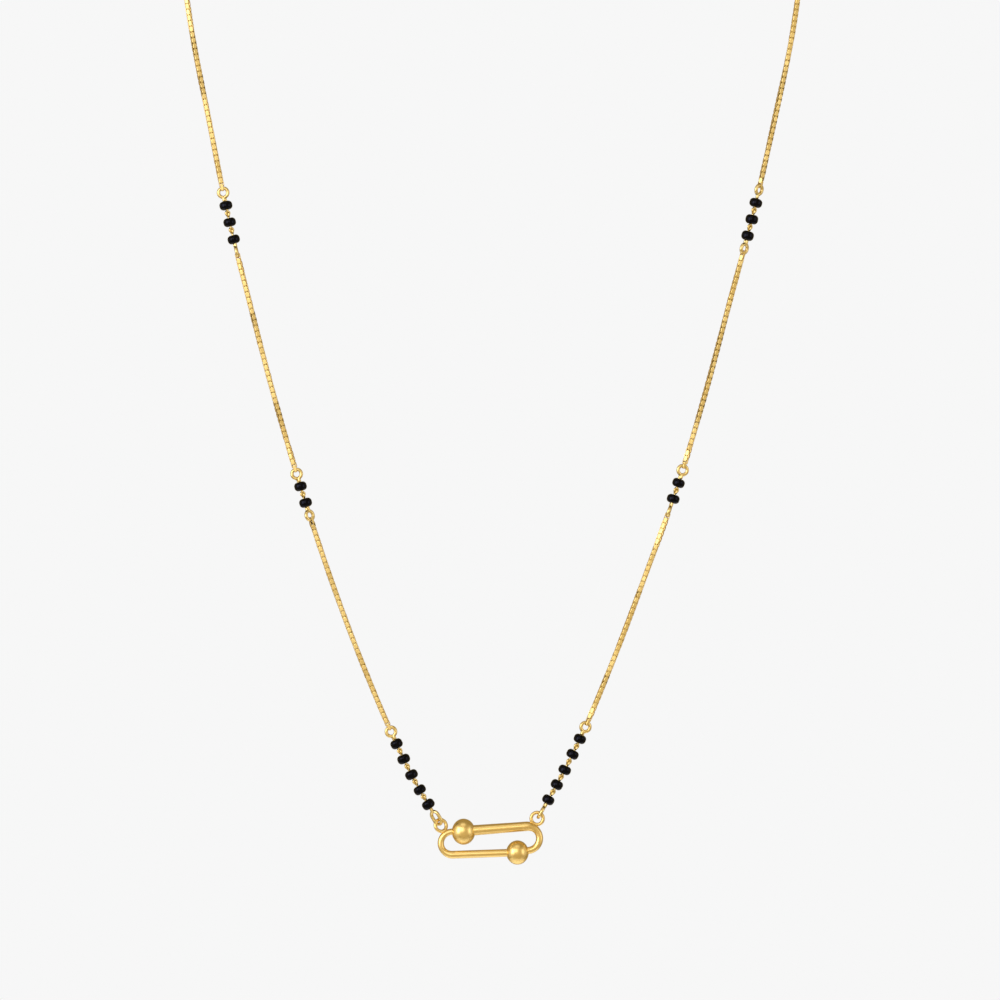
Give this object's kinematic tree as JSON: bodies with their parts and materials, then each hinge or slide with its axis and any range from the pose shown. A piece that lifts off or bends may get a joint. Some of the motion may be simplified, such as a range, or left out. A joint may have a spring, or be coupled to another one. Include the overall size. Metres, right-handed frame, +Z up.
{
  "type": "mangalsutra necklace",
  "caption": "Fine gold box chain for the neck, broken by short strings of black glass beads, with a pendant bent from round bar into a long closed link with a ball on each bar.",
  "frame": {"origin": "middle of the closed clasp, where the loop rests on the back of the neck", "axes": "+Z up; +X to the right of someone who faces the wearer; +Y to the back, away from the viewer of the picture"},
  "size_m": [0.1054, 0.0601, 0.169],
  "materials": {
    "pendant_gold": "satin-polished yellow gold",
    "chain_gold": "polished yellow gold box chain",
    "wire_gold": "polished yellow gold wire",
    "clasp_gold": "polished yellow gold",
    "black_glass": "glossy opaque black glass"
  },
  "bodies": {
    "necklace": {"clasp": "clasp_gold", "chain_left_lower": "chain_gold", "chain_left_middle": "chain_gold", "chain_left_upper": "chain_gold", "chain_right_lower": "chain_gold", "chain_right_middle": "chain_gold", "chain_right_upper": "chain_gold", "bead_left_lower_1": "black_glass", "bead_left_lower_2": "black_glass", "bead_left_lower_3": "black_glass", "bead_left_lower_4": "black_glass", "bead_left_lower_5": "black_glass", "bead_left_middle_1": "black_glass", "bead_left_middle_2": "black_glass", "bead_left_upper_1": "black_glass", "bead_left_upper_2": "black_glass", "bead_left_upper_3": "black_glass", "bead_right_lower_1": "black_glass", "bead_right_lower_2": "black_glass", "bead_right_lower_3": "black_glass", "bead_right_lower_4": "black_glass", "bead_right_lower_5": "black_glass", "bead_right_middle_1": "black_glass", "bead_right_middle_2": "black_glass", "bead_right_upper_1": "black_glass", "bead_right_upper_2": "black_glass", "bead_right_upper_3": "black_glass", "pin_left_lower_1": "wire_gold", "pin_left_lower_2": "wire_gold", "pin_left_lower_3": "wire_gold", "pin_left_lower_4": "wire_gold", "pin_left_lower_5": "wire_gold", "pin_left_middle_1": "wire_gold", "pin_left_middle_2": "wire_gold", "pin_left_upper_1": "wire_gold", "pin_left_upper_2": "wire_gold", "pin_left_upper_3": "wire_gold", "pin_right_lower_1": "wire_gold", "pin_right_lower_2": "wire_gold", "pin_right_lower_3": "wire_gold", "pin_right_lower_4": "wire_gold", "pin_right_lower_5": "wire_gold", "pin_right_middle_1": "wire_gold", "pin_right_middle_2": "wire_gold", "pin_right_upper_1": "wire_gold", "pin_right_upper_2": "wire_gold", "pin_right_upper_3": "wire_gold"},
    "pendant": {"pendant": "pendant_gold"}
  },
  "joints": [
    {"name": "pendant_swing", "type": "hinge", "parent": "necklace", "child": "pendant", "pos_m": [-0.00865, -0.057, -0.16035], "axis": [0.9978, 0, 0.0663], "range_deg": [-30, 15]}
  ]
}
